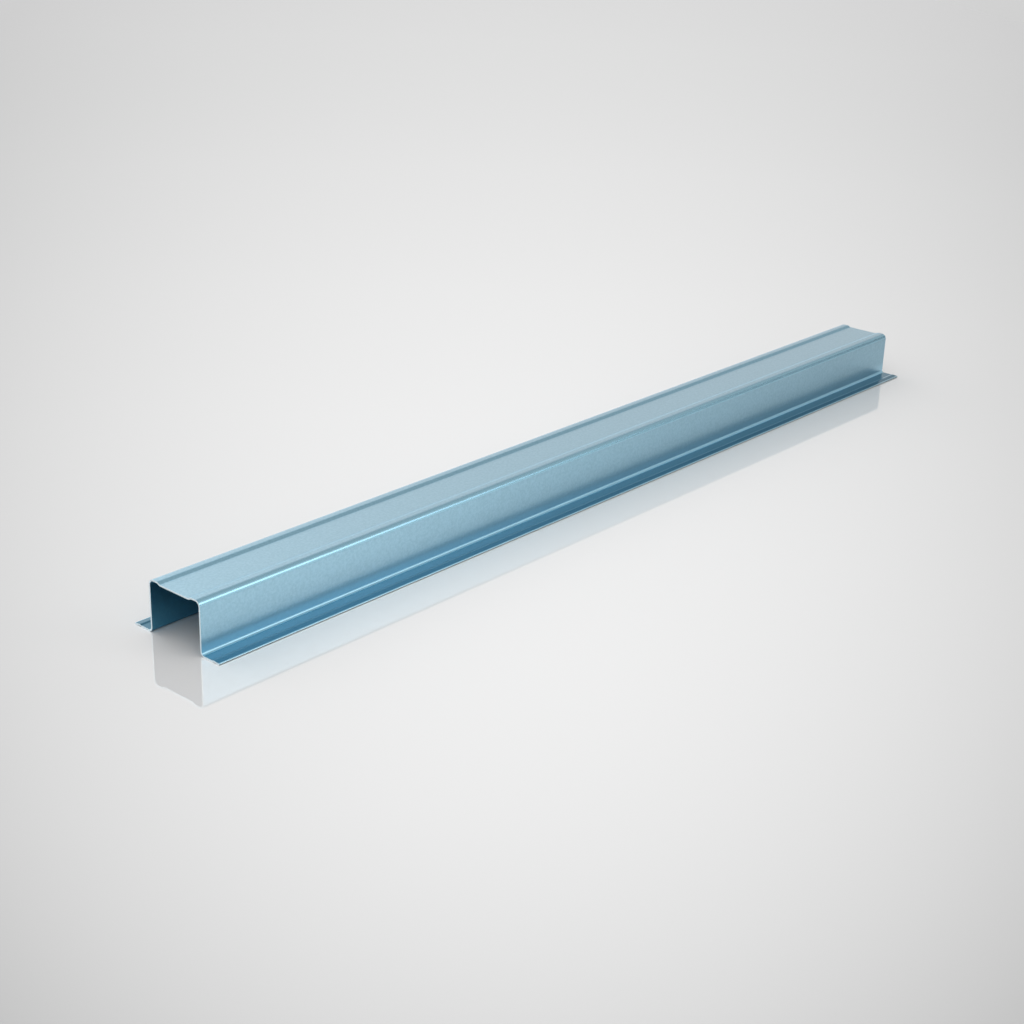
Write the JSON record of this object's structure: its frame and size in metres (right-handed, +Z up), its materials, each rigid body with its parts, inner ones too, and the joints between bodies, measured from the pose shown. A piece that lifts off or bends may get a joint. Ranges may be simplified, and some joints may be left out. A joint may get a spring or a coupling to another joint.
{
  "type": "ceiling batten",
  "caption": "Cold-rolled steel hat-section batten, with a shallow pan in its board face and a flat foot along each side, that carries ceiling lining.",
  "frame": {"origin": "on the floor under the middle of the batten, midway between the two free edges and the two cut ends", "axes": "+X along the length, +Y across the section, +Z up from the feet to the board face"},
  "size_m": [0.52, 0.0524, 0.024],
  "materials": {
    "coated_steel": "satin metallic blue coating on zinc-coated steel strip"
  },
  "bodies": {
    "root": {"ceiling_batten": "coated_steel"}
  },
  "joints": []
}
